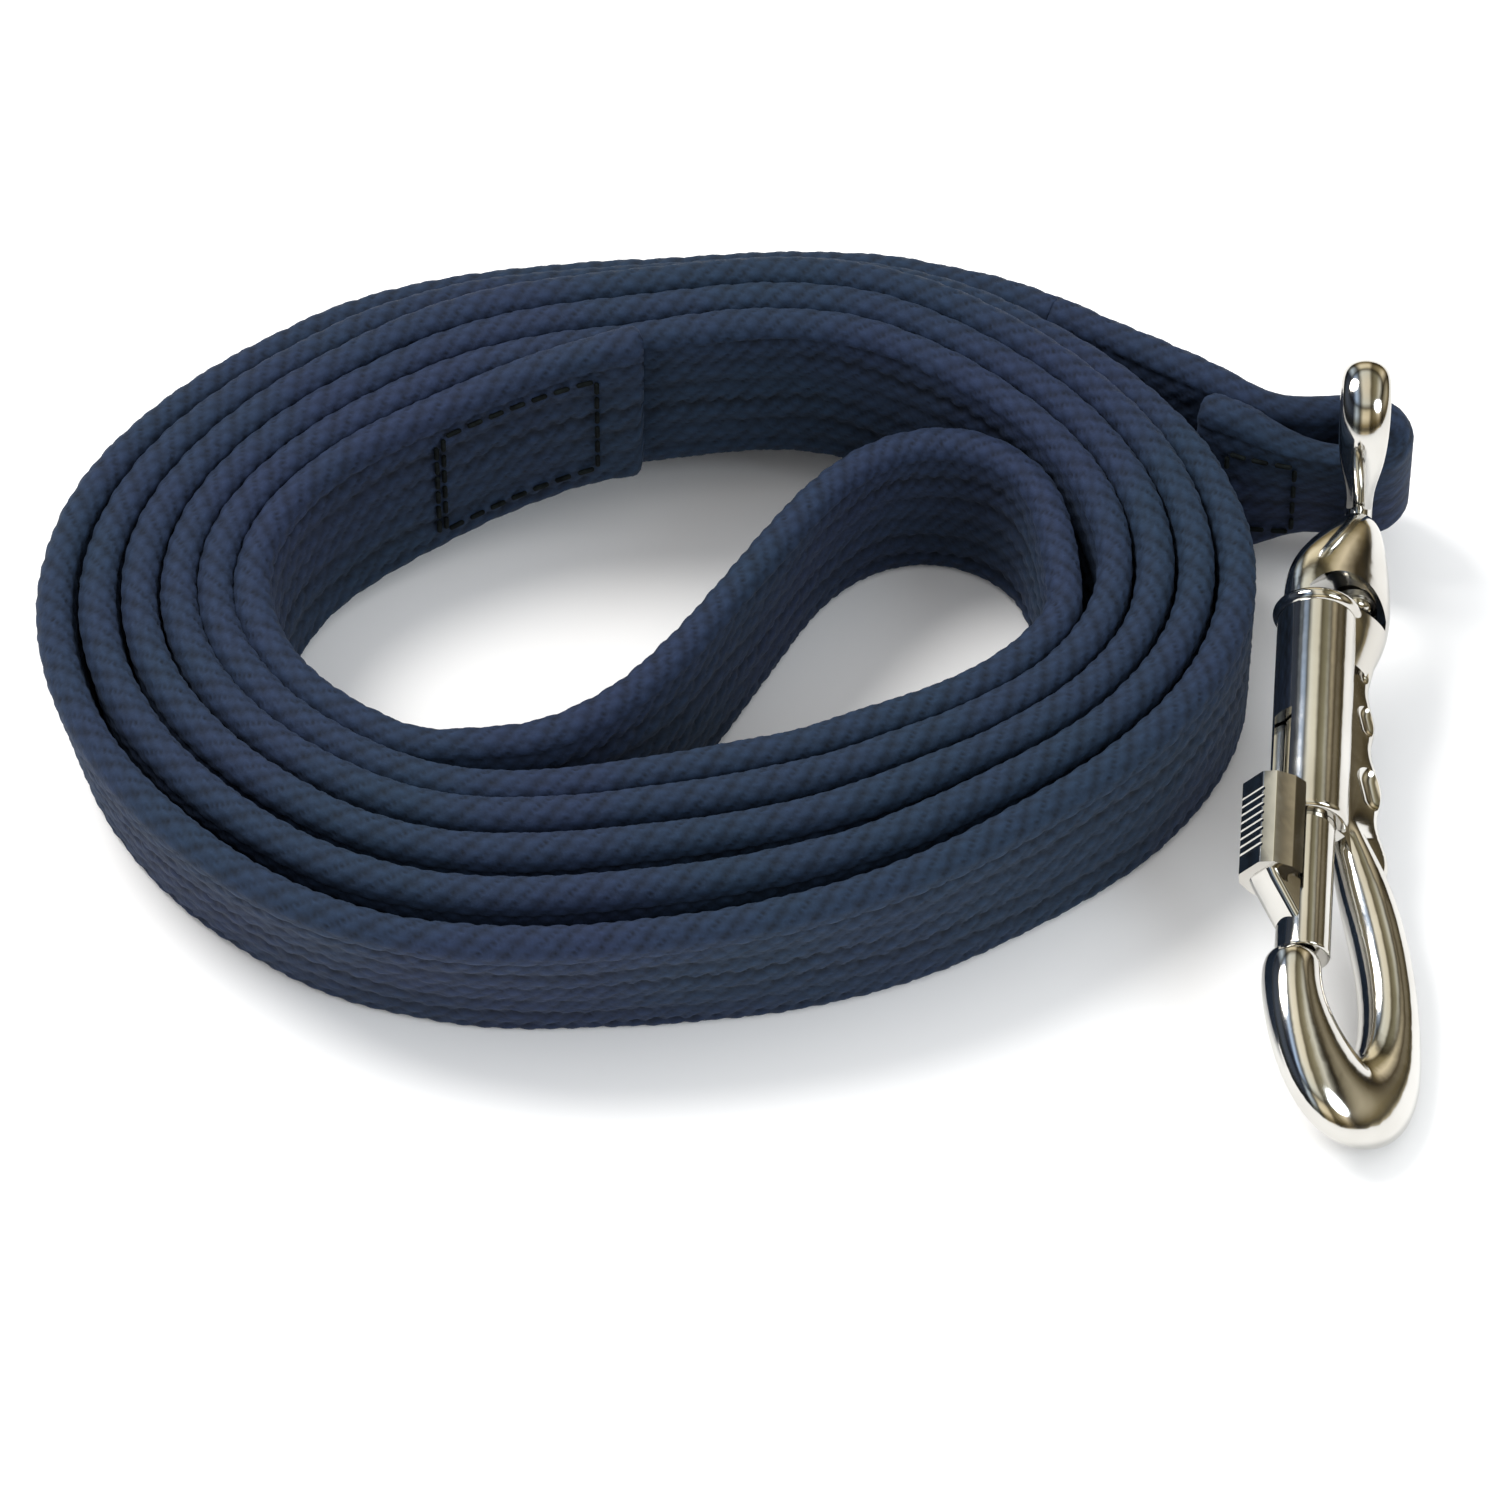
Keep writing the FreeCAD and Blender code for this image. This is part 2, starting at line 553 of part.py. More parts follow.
def knob_foot():
    """Wedge that closes the knob's hook-side end and runs down to the rod."""
    outline = [vec(x, y, -KNOB_FOOT_WIDTH / 2) for x, y in KNOB_FOOT]
    foot = Part.Face(Part.makePolygon([*outline, outline[0]])).extrude(vec(0, 0, KNOB_FOOT_WIDTH))
    slopes = [e for e in foot.Edges
              if e.BoundBox.ZLength < 1e-6 and e.BoundBox.XLength > 0.5 and e.BoundBox.YLength > 0.5]
    return foot.makeFillet(0.9, slopes)


def bolt():
    """Sliding rod, the web that comes out through the slot, and the ribbed thumb knob."""
    shaft = rod(*BOLT, ROD_RADIUS, BORE_AXIS)
    shaft = shaft.makeFillet(0.4, end_circles(shaft, BOLT[1]))
    start, end = KNOB
    side = [vec(start + 0.6, BORE_AXIS, 0), vec(start + 0.6, KNOB_OUTLINE[1][0], 0),
            vec(end - 1, KNOB_OUTLINE[1][0], 0), vec(BOLT[1] - 1.2, BORE_AXIS + 1.2, 0),
            vec(BOLT[1] - 2, BORE_AXIS, 0)]
    side.append(side[0])
    plate = Part.Face(Part.makePolygon([p - vec(0, 0, WEB_PLATE / 2) for p in side]))
    plate = plate.extrude(vec(0, 0, WEB_PLATE))
    half = [vec(start, y, w) for y, w in KNOB_OUTLINE]
    outline = half + [vec(p.x, p.y, -p.z) for p in reversed(half)]
    knob = Part.Face(Part.makePolygon([*outline, outline[0]])).extrude(vec(end - start, 0, 0))
    lengthwise = [e for e in knob.Edges
                  if e.BoundBox.XLength > 1 and e.BoundBox.YMin > KNOB_OUTLINE[0][0] + 0.1]
    knob = knob.makeFillet(0.45, lengthwise)
    knob = knob.cut(rod(start - 1, end + 1, KNOB_SADDLE, BORE_AXIS))
    pitch = (end - start - 4) / GRIP_RIBS
    for k in range(GRIP_RIBS):
        place = vec(start + 2 + (k + 0.5) * pitch, KNOB_OUTLINE[-1][0] + 0.1, -6)
        groove = Part.makeCylinder(0.35, 12, place, vec(0, 0, 1))
        knob = knob.cut(groove)
    return shaft.fuse([plate, knob, knob_foot()]).removeSplitter()


def bolt_spring():
    """Coil spring between the floor of the bore and the bolt."""
    start, end = BORE_FLOOR + SPRING_WIRE + 0.05, BOLT[0] - SPRING_WIRE - 0.05
    helix = Part.makeHelix((end - start) / SPRING_COILS, end - start, SPRING_RADIUS)
    wire_circle = Part.Wire(Part.makeCircle(SPRING_WIRE, vec(SPRING_RADIUS, 0, 0), vec(0, 1, 0)))
    spring = Part.Wire(helix.Edges).makePipeShell([wire_circle], True, True)
    lengthwise = FreeCAD.Rotation(vec(0, 0, 1), vec(1, 0, 0))
    spring.Placement = FreeCAD.Placement(vec(start, BORE_AXIS, 0), lengthwise)
    return spring


# ---- the assembly ----------------------------------------------------------------------------
def placed(shape, place):
    shape = shape.Solids[0]
    shape.Placement = place.multiply(shape.Placement)
    return shape


def build():
    coil, tail = split_at_hinge(all_rows())
    eye, body = snap_place(90.0), snap_place(SNAP_ROLL)
    return {
        "webbing_cover": sleeve(coil, SECTION_ROWS),
        "webbing_core": filling(coil, SECTION_ROWS),
        "loop_stitching": loop_stitching(coil),
        "tail_cover": sleeve(tail, 1),
        "tail_core": filling(tail, 1),
        "snap_end_stitching": snap_end_stitching(tail),
        "swivel_eye": placed(swivel_eye(), eye),
        "swivel_washer": placed(swivel_washer(), eye),
        "snap_body": placed(snap_body(), body),
        "bolt": placed(bolt(), body),
        "bolt_spring": placed(bolt_spring(), body),
    }


os.makedirs("parts", exist_ok=True)
for node, shape in build().items():
    shape.exportStep(f"parts/{node}.step")
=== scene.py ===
import math

import bpy
import numpy as np
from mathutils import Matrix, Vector


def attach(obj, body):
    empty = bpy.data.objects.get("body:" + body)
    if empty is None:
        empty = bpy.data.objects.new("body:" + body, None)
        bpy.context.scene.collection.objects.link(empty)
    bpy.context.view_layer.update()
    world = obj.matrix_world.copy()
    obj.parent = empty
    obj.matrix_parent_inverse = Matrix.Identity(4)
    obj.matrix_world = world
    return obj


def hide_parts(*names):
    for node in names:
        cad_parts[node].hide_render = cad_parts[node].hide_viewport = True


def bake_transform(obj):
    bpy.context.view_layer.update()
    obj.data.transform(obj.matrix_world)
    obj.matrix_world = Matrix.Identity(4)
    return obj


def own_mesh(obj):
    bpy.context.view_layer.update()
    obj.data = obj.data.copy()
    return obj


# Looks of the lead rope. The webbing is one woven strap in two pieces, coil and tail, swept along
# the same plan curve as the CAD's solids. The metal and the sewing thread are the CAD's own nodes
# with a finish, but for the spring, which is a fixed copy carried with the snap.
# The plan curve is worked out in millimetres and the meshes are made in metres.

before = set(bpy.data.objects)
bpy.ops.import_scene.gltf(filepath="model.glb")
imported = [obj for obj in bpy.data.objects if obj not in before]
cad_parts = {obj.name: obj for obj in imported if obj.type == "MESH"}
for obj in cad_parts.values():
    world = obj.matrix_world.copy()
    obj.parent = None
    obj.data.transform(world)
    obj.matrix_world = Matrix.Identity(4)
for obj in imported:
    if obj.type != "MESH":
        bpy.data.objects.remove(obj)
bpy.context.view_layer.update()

# ---- webbing: the same driving dimensions as the CAD, in mm and degrees ----------------------
MM = 0.001
WEB_WIDTH = 25.0
WEB_THICK = 4.2
FLAT_SHARE = 0.38           # share of the way round taken by one flat face
ROW_STEP = 1.5
SOFTENING = 5
FIRST_WRAP = (52.6, 42.9, 30.9, 37.5, 49.8, 40.8, 30.7, 35.2)
WRAP_PITCH = (5.00, 4.82, 4.74, 4.76, 4.48, 4.72, 4.85, 5.25)
COIL_START = -6.0
COIL_END = -1745.0
LOOP_END_ANGLE = -268.0
LOOP_TURN_ANGLE = -132.0
HAND_LOOP = ((-22.0, -27.9), (-13.0, -26.8), (-4.0, -21.4), (3.2, -13.0), (9.2, -2.6), (14.4, 7.2),
             (20.0, 16.4), (27.6, 22.8), (36.6, 24.4), (44.6, 20.6), (49.6, 12.4))
COIL_RISE = 8.5
RISE_CENTRE = 82.0
RISE_HALF_SPAN = 100.0
RISE_FULL_WRAPS = 2.9
RISE_LAST_WRAP = 4.55
FRONT_FAN = 15.0
FAN_CENTRE = 258.0
FAN_FIRST_WRAP = 1.25
SIDE_LEAN = 5.0
BACK_LEAN = -4.0
HAND_LOOP_LEAN = 7.0
SEWN_END_WIDTH = 26.6
SEWN_END_LIFT = 3.0
SEWN_END_SPAN = 44.0
TAIL = ((43.2, 48.8), (50.8, 45.2), (58.8, 40.6), (66.2, 36.0), (72.6, 32.0), (78.6, 29.4))
EYE_BAR = (89.4, 26.6)
EYE_HEIGHT = 18.8
BAR_RADIUS = 2.1
FOLD_CLEARANCE = 0.2
FOLD_SAG = 0.975
FOLD_WIDTH = 16.0
FOLD_RISE = 6.1
GATHER_LENGTH = 10.0
SPREAD_LENGTH = 14.0
LEG_GAP = 0.12
SEWN_LENGTH = 20.0
TAIL_HINGE = (50.8, 45.2)
SNAP_END = (83.3, -57.3, 9.7)

# ---- weave -----------------------------------------------------------------------------------
MESH_STEP = 0.52            # spacing of the mesh along the webbing
AROUND = 126                # points around the webbing
STITCH = 2.6                # length of one stitch of the weave
STITCH_ROWS = 42            # rows of stitches around the webbing
RIBS = 14                   # ribs around the webbing, seen on its flat faces
STITCH_HEIGHT = 0.34
BULGE = 0.12                # the soft webbing swells this much past the solid
RIB_DEPTH = 0.45
PRESSED_FLAT = 0.85         # share of the weave's height lost where the webbing is pulled round the bar
END_ROUND = 1.5             # the cut ends are rounded over this length


def smooth_step(t):
    t = max(0.0, min(1.0, t))
    return t * t * (3.0 - 2.0 * t)


def mix(a, b, t):
    return a + (b - a) * t


def periodic(values, angle):
    """Smooth value at an angle, from values given every 360/len(values) degrees."""
    n = len(values)
    place = (angle % 360.0) / 360.0 * n
    i = int(place)
    t = place - i
    p0, p1, p2, p3 = (values[(i + k) % n] for k in (-1, 0, 1, 2))
    cubic = 3 * (p1 - p2) + p3 - p0
    return p1 + 0.5 * t * (p2 - p0 + t * (2 * p0 - 5 * p1 + 4 * p2 - p3 + t * cubic))


def angle_from(angle, centre):
    return abs((angle - centre + 180.0) % 360.0 - 180.0)


def wrap_place(angle, wraps_inward=0):
    """Point of the coil at a polar angle that keeps falling as the webbing winds clockwise."""
    wrap = -angle / 360.0 - wraps_inward
    radius = periodic(FIRST_WRAP, angle) + periodic(WRAP_PITCH, angle) * wrap
    return radius * math.cos(math.radians(angle)), radius * math.sin(math.radians(angle))


def coil_rise(angle):
    wrap = -angle / 360.0
    span = smooth_step(1.0 - angle_from(angle, RISE_CENTRE) / RISE_HALF_SPAN)
    full = smooth_step((RISE_LAST_WRAP - wrap) / (RISE_LAST_WRAP - RISE_FULL_WRAPS))
    return COIL_RISE * span * full


def coil_lean(angle):
    """Lean away from the middle of the coil, in degrees."""
    wrap = -angle / 360.0
    front = smooth_step(1.0 - angle_from(angle, FAN_CENTRE) / 115.0)
    left = smooth_step(1.0 - angle_from(angle, 205.0) / 105.0)
    back = smooth_step(1.0 - angle_from(angle, 90.0) / 80.0)
    fan = FRONT_FAN * front * max(0.0, (wrap - FAN_FIRST_WRAP) / 3.0) ** 1.5
    return fan + SIDE_LEAN * left + BACK_LEAN * back


def catmull_rom(points, per_span):
    """Smooth rows through the given rows of numbers, without the two outermost rows."""
    rows = []
    for p0, p1, p2, p3 in zip(points, points[1:], points[2:], points[3:]):
        for k in range(per_span):
            t = k / per_span
            rows.append(tuple(b + 0.5 * t * (c - a + t * (2 * a - 5 * b + 4 * c - d
                                                          + t * (3 * (b - c) + d - a)))
                              for a, b, c, d in zip(p0, p1, p2, p3)))
    rows.append(tuple(points[-2]))
    return rows


def respace(rows, step):
    """Rows at even distances along the plan curve; the first two numbers are x and y."""
    lengths = [0.0]
    for a, b in zip(rows, rows[1:]):
        lengths.append(lengths[-1] + math.hypot(b[0] - a[0], b[1] - a[1]))
    count = max(2, round(lengths[-1] / step))
    wanted = np.linspace(0.0, lengths[-1], count + 1)
    columns = [np.interp(wanted, lengths, column) for column in zip(*rows)]
    return [tuple(float(x) for x in row) for row in zip(*columns)]


def soften(rows, passes):
    for _ in range(passes):
        inner = [tuple((a + 2 * b + c) / 4 for a, b, c in zip(*three))
                 for three in zip(rows, rows[1:], rows[2:])]
        rows = [rows[0]] + inner + [rows[-1]]
    return rows


def sewn_end(angle):
    """Extra rise and width of the hand loop towards its sewn end."""
    near = smooth_step(1.0 - (angle - LOOP_END_ANGLE) / SEWN_END_SPAN)
    return SEWN_END_LIFT * near, (SEWN_END_WIDTH - WEB_WIDTH) * near


def coil_rows():
    """Rows of the coil: x, y, rise, lean to the left of travel in degrees, width, slant."""
    rows = []
    angle = LOOP_END_ANGLE
    while angle < LOOP_TURN_ANGLE:
        x, y = wrap_place(angle, 1)
        lift, wider = sewn_end(angle)
        rows.append((x, y, coil_rise(angle) + lift, -coil_lean(angle), WEB_WIDTH + wider, 0.0))
        angle += 4.0
    fold = len(HAND_LOOP)
    for k, (x, y) in enumerate(HAND_LOOP):
        lean = -HAND_LOOP_LEAN * math.sin(math.pi * smooth_step((k - 2) / (fold - 2)))
        rows.append((x, y, 0.0, lean, WEB_WIDTH, 0.0))
    angle = COIL_START
    while angle > COIL_END:
        x, y = wrap_place(angle)
        rows.append((x, y, coil_rise(angle), coil_lean(angle), WEB_WIDTH, 0.0))
        angle -= 4.0
    return rows


def tail_leg():
    """The outer leg of the tail, ending beside the bar of the eye."""
    reach = (BAR_RADIUS + FOLD_CLEARANCE + WEB_THICK / 2) / FOLD_SAG
    heading = math.atan2(EYE_BAR[1] + reach - TAIL[-1][1], EYE_BAR[0] - TAIL[-1][0])
    end = (EYE_BAR[0] - reach * math.sin(heading), EYE_BAR[1] + reach * math.cos(heading))
    beyond = (2 * end[0] - TAIL[-1][0], 2 * end[1] - TAIL[-1][1])
    return [*TAIL, end], beyond, heading, reach


def bar_rows():
    """Half turn of the webbing around the bar, and the leg that comes back beside the first."""
    points, beyond, heading, reach = tail_leg()
    rows = []
    for k in range(1, 12):
        turn = heading + math.radians(90.0 - 15.0 * k)
        rows.append((EYE_BAR[0] + reach * math.cos(turn), EYE_BAR[1] + reach * math.sin(turn)))
    leg = respace(catmull_rom([wrap_place(COIL_END), *points, beyond], 8), 2.0)
    leg = respace(soften(leg, 4), 2.0)[::-1]
    length = 0.0
    for a, b, c in zip(leg, leg[1:], leg[2:]):
        length += math.dist(a, b)
        if length > SEWN_LENGTH:
            break
        tangent = math.atan2(a[1] - c[1], a[0] - c[0])
        apart = mix(2 * reach, WEB_THICK + LEG_GAP, smooth_step(length / SPREAD_LENGTH))
        rows.append((b[0] + apart * math.sin(tangent), b[1] - apart * math.cos(tangent)))
    return rows


def snap_dip():
    """How far the snap points down, as an angle."""
    level = math.hypot(SNAP_END[0] - EYE_BAR[0], SNAP_END[1] - EYE_BAR[1])
    return math.atan2(EYE_HEIGHT - SNAP_END[2], level)


def gathered(point):
    """Row of the tail at a point: the webbing narrows towards the eye."""
    near = smooth_step(1.0 - (math.dist(point, EYE_BAR) - 6.0) / GATHER_LENGTH)
    return (*point, FOLD_RISE * near, 0.0, mix(WEB_WIDTH, FOLD_WIDTH, near), snap_dip() * near)


def spread_evenly(rows):
    """Rows at the standard step along a smooth curve through all the given rows."""
    first = tuple(2 * a - b for a, b in zip(rows[0], rows[1]))
    last = tuple(2 * a - b for a, b in zip(rows[-1], rows[-2]))
    return respace(catmull_rom([first, *rows, last], 6), ROW_STEP)


def all_rows():
    """The whole length of webbing, from the sewn end of the hand loop to the turned-back end."""
    lead_in = coil_rows() + [gathered(p) for p in tail_leg()[0]]
    fold = [gathered(p) for p in tail_leg()[0][-1:] + bar_rows()]
    return soften(spread_evenly(lead_in), SOFTENING) + spread_evenly(fold)[1:]


# ---- woven strap -----------------------------------------------------------------------------
def unit(vectors):
    return vectors / np.linalg.norm(vectors, axis=1)[:, None]


def strap_frame(rows):
    """Middle, direction across and direction out of the left face at each row of the webbing."""
    x, y, rise, lean, width, slant = rows.T
    along = unit(np.stack([np.gradient(x), np.gradient(y), np.zeros(len(x))], 1))
    up = np.array([0.0, 0.0, 1.0])
    left = np.cross(up, along)
    lean = np.radians(lean)
    upright = up * np.cos(lean)[:, None] + left * np.sin(lean)[:, None]
    low = np.maximum(rise, 0.0) + WEB_THICK / 2 * (1 - np.cos(lean))
    middle = np.stack([x, y, low], 1) + upright * (width / 2)[:, None]
    level = np.array([SNAP_END[0] - EYE_BAR[0], SNAP_END[1] - EYE_BAR[1], 0.0])
    tilt = level / np.linalg.norm(level) * np.tan(slant)[:, None]
    middle = middle + tilt * (middle[:, 2] - EYE_HEIGHT)[:, None]
    across = unit(upright + tilt)
    return middle, across, unit(np.cross(across, along))


def oval(share, width):
    """Point and outward direction on the flat oval of the webbing, at a share of the way round."""
    radius = WEB_THICK / 2
    flat = width - WEB_THICK
    arc = math.pi * radius
    way = share * (2 * flat + 2 * arc)
    point = np.zeros(way.shape + (2,))
    out = np.zeros(way.shape + (2,))
    left = way < flat
    top = (way >= flat) & (way < flat + arc)
    right = (way >= flat + arc) & (way < 2 * flat + arc)
    low = way >= 2 * flat + arc
    point[left] = np.stack([way[left] - (flat / 2)[left], np.full(left.sum(), radius)], 1)
    out[left] = (0, 1)
    point[right] = np.stack([1.5 * flat[right] + arc - way[right], np.full(right.sum(), -radius)], 1)
    out[right] = (0, -1)
    for where, start, side in ((top, flat, 1), (low, 2 * flat + arc, -1)):
        turn = (way[where] - start[where]) / radius
        out[where] = np.stack([side * np.sin(turn), side * np.cos(turn)], 1)
        point[where] = out[where] * radius
        point[where, 0] += side * flat[where] / 2
    return point, out


def weave_height(length, share):
    """Height of the weave: slanted ovals of yarn in brick order, in uneven ribs on the flat faces."""
    turn = 2 * math.pi * length / STITCH
    row = share * STITCH_ROWS + 0.24 * np.sin(turn / 2 + 2 * math.pi * share * RIBS)
    rib = share * RIBS + 0.10 * np.sin(turn + 9.0 * share) + 0.10 * np.sin(turn / 7.3)
    within = row % 1.0
    stitch = length / STITCH + 0.5 * (np.floor(row) % 2) + 0.42 * within
    oval_along = np.abs(np.sin(math.pi * stitch))
    oval_across = np.sin(math.pi * within)
    yarn = np.sqrt(oval_along * (0.2 + 0.8 * oval_across))
    face = np.abs((share * 2 + 0.02) % 1.0 - FLAT_SHARE) < FLAT_SHARE - 0.02
    uneven = 0.7 + 0.3 * np.sin(length / 11.0 + 17.0 * np.round(share * RIBS))
    groove = uneven * np.exp(-((((rib + 0.5) % 1.0) - 0.5) / 0.2) ** 2) * face
    return STITCH_HEIGHT * (yarn - 0.55) - RIB_DEPTH * groove, yarn, groove


def wander(count, spacing, size, seed):
    """Slow, repeatable variation along the webbing."""
    knots = np.random.default_rng(seed).normal(0.0, size, int(count / spacing) + 3)
    return np.interp(np.arange(count) / spacing, np.arange(len(knots)), knots)


def strap_mesh(name, rows, first_length, round_start, round_end):
    """Closed woven strap along rows; a rounded end is a cut end, the other end continues."""
    rows = np.array(rows)
    length = np.concatenate([[0], np.cumsum(np.hypot(*np.diff(rows[:, :2], axis=0).T))])
    count = int(length[-1] / MESH_STEP) + 1
    want = np.linspace(0.0, length[-1], count)
    fine = np.stack([np.interp(want, length, column) for column in rows.T], 1)
    middle, across, outward = strap_frame(fine)
    share = np.broadcast_to(np.arange(AROUND) / AROUND, (count, AROUND))
    width = np.broadcast_to(fine[:, 4:5], (count, AROUND))
    point, out = oval(share, width)
    travelled = (first_length + want + wander(count, 40, 0.5, 5))[:, None]
    height, wave, groove = weave_height(travelled, share)
    height = height + BULGE + wander(count, 14, 0.06, 3)[:, None]
    pressed = np.clip(4 * (WEB_WIDTH - fine[:, 4]) / (WEB_WIDTH - FOLD_WIDTH), 0, 1)
    height = height * (1 - PRESSED_FLAT * pressed)[:, None]
    flat = point + out * height[..., None]
    from_end = np.minimum(want / END_ROUND if round_start else 9.0,
                          (want[-1] - want) / END_ROUND if round_end else 9.0)
    drop = WEB_THICK / 2 * (1 - np.sqrt(1 - (1 - np.clip(from_end, 0, 1)) ** 2))
    flat = flat - np.sign(flat) * np.minimum(np.abs(flat), drop[:, None, None])
    places = middle[:, None] + across[:, None] * flat[..., :1] + outward[:, None] * flat[..., 1:]
    verts = places.reshape(-1, 3) * MM
    ring = np.arange(AROUND)
    start = np.arange(count - 1)[:, None] * AROUND
    quads = np.stack([start + ring, start + (ring + 1) % AROUND,
                      start + AROUND + (ring + 1) % AROUND, start + AROUND + ring], -1).reshape(-1, 4)
    centres = np.stack([places[0].mean(0), places[-1].mean(0)]) * MM
    first, last = len(verts), len(verts) + 1
    verts = np.concatenate([verts, centres])
    tip = (count - 1) * AROUND
    caps = [(int((k + 1) % AROUND), int(k), first) for k in ring]
    caps += [(tip + int(k), tip + int((k + 1) % AROUND), last) for k in ring]
    mesh = bpy.data.meshes.new(name)
    mesh.from_pydata(verts.tolist(), [], quads.tolist() + caps)
    # the yarn height and the rib grooves are stored for the painted shade of the weave in the material
    for label, values in (("weave", wave), ("groove", groove)):
        layer = mesh.attributes.new(label, "FLOAT", "POINT")
        layer.data.foreach_set("value", np.append(values.ravel(), [0, 0]).astype(np.float32))
    mesh.shade_smooth()
    strap = bpy.data.objects.new(name, mesh)
    bpy.context.scene.collection.objects.link(strap)
    return strap


# ---- materials -------------------------------------------------------------------------------
def new_material(name):
    material = bpy.data.materials.new(name)
    material.use_nodes = True
    tree = material.node_tree
    return material, tree, tree.nodes["Principled BSDF"]


def add(tree, kind, **inputs):
    """Adds a shader node and sets its inputs by name, with spaces as underscores."""
    node = tree.nodes.new(kind)
    for key, value in inputs.items():
        node.inputs[key.replace("_", " ")].default_value = value
    return node


def ramp(tree, source, stops):
    node = tree.nodes.new("ShaderNodeValToRGB")
    elements = node.color_ramp.elements
    while len(elements) < len(stops):
        elements.new(0.5)
    for element, (place, colour) in zip(elements, stops):
        element.position = place
        element.color = (*colour, 1.0)
    tree.links.new(source, node.inputs["Fac"])
    return node


def noise(tree, scale, detail=3.0):
    place = tree.nodes.new("ShaderNodeTexCoord")
    node = add(tree, "ShaderNodeTexNoise", Scale=scale, Detail=detail)
    tree.links.new(place.outputs["Object"], node.inputs["Vector"])
    return node


def spread(tree, source, low, high):
    """Maps 0 to 1 onto low to high."""
    node = tree.nodes.new("ShaderNodeMapRange")
    node.inputs["To Min"].default_value = low
    node.inputs["To Max"].default_value = high
    tree.links.new(source, node.inputs["Value"])
    return node.outputs["Result"]


def product(tree, first, second):
    node = tree.nodes.new("ShaderNodeMath")
    node.operation = "MULTIPLY"
    tree.links.new(first, node.inputs[0])
    tree.links.new(second, node.inputs[1])
    return node.outputs[0]


def stored(tree, name):
    """Value stored on the mesh's points under a name."""
    node = tree.nodes.new("ShaderNodeAttribute")
    node.attribute_name = name
    return node.outputs["Fac"]


def bump(tree, shader, height, strength, distance):
    node = add(tree, "ShaderNodeBump", Strength=strength, Distance=distance)
    tree.links.new(height, node.inputs["Height"])
    tree.links.new(node.outputs["Normal"], shader.inputs["Normal"])


def woven_material():
    """Navy yarn with painted shade and light from the weave: darker between the yarns and in the
    grooves, lighter on the yarn tops; slow shifts towards teal, fine fibre and a soft fuzz.
    """
    material, tree, shader = new_material("woven_navy")
    shift = ramp(tree, noise(tree, 26.0).outputs["Fac"],
                 [(0.38, (0.0100, 0.0175, 0.044)), (0.62, (0.0080, 0.0190, 0.040))])
    # painted shade and light: the colour follows the yarn's height, dark between the yarns and bright
    # on their tops
    level = spread(tree, stored(tree, "weave"), 0.3, 1.45)
    fibre = spread(tree, noise(tree, 1500.0, 2.0).outputs["Fac"], 0.75, 1.25)
    # painted shade in the rib grooves
    groove_shade = spread(tree, stored(tree, "groove"), 1.0, 0.4)
    total = product(tree, product(tree, level, fibre), groove_shade)
    colour = tree.nodes.new("ShaderNodeVectorMath")
    colour.operation = "SCALE"
    tree.links.new(shift.outputs["Color"], colour.inputs[0])
    tree.links.new(total, colour.inputs["Scale"])
    tree.links.new(colour.outputs[0], shader.inputs["Base Color"])
    shader.inputs["Roughness"].default_value = 0.82
    shader.inputs["Specular IOR Level"].default_value = 0.25
    shader.inputs["Sheen Weight"].default_value = 0.05
    shader.inputs["Sheen Roughness"].default_value = 0.5
    shader.inputs["Sheen Tint"].default_value = (0.35, 0.5, 0.8, 1.0)
    bump(tree, shader, noise(tree, 2200.0, 2.0).outputs["Fac"], 0.35, 0.0002)
    return material


def thread_material():
    material, tree, shader = new_material("dark_thread")
    tone = ramp(tree, noise(tree, 900.0).outputs["Fac"],
                [(0.35, (0.0015, 0.0025, 0.003)), (0.7, (0.007, 0.010, 0.010))])
    tree.links.new(tone.outputs["Color"], shader.inputs["Base Color"])
    shader.inputs["Roughness"].default_value = 0.8
    shader.inputs["Specular IOR Level"].default_value = 0.1
    bump(tree, shader, noise(tree, 2600.0).outputs["Fac"], 0.3, 0.0001)
    return material


def chrome_material():
    """Bright plating with faint clouding and the small unevenness of a polished casting."""
    material, tree, shader = new_material("bright_plating")
    tone = ramp(tree, noise(tree, 60.0).outputs["Fac"],
                [(0.35, (0.52, 0.50, 0.46)), (0.7, (0.66, 0.65, 0.62))])
    tree.links.new(tone.outputs["Color"], shader.inputs["Base Color"])
    rough = spread(tree, noise(tree, 220.0).outputs["Fac"], 0.05, 0.16)
    tree.links.new(rough, shader.inputs["Roughness"])
    shader.inputs["Metallic"].default_value = 1.0
    bump(tree, shader, noise(tree, 130.0).outputs["Fac"], 0.12, 0.0006)
    return material


def steel_material():
    material, tree, shader = new_material("plain_steel")
    tone = ramp(tree, noise(tree, 400.0).outputs["Fac"],
                [(0.3, (0.30, 0.29, 0.27)), (0.7, (0.46, 0.45, 0.43))])
    tree.links.new(tone.outputs["Color"], shader.inputs["Base Color"])
    shader.inputs["Metallic"].default_value = 1.0
    shader.inputs["Roughness"].default_value = 0.32
    return material


def finish_node(name, material):
    """Gives a CAD node its material, and smooth shading across the seams between its faces."""
    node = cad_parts[name]
    node.data.materials.clear()
    node.data.materials.append(material)
    node.data.shade_smooth()
    weld = node.modifiers.new("weld", "WELD")
    weld.merge_threshold = 1e-6
    split = node.modifiers.new("creases", "EDGE_SPLIT")
    split.split_angle = math.radians(32)


def spring_coil(material):
    """The spring behind the bolt, which closes up as the bolt is drawn back; here a fixed copy carried
    with the snap.
    """
    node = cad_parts["bolt_spring"]
    spring = bpy.data.objects.new("spring_coil", node.data.copy())
    bpy.context.scene.collection.objects.link(spring)
    spring.data.materials.clear()
    spring.data.materials.append(material)
    spring.data.shade_smooth()
    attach(spring, "snap")
    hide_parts("bolt_spring")
    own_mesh(spring)


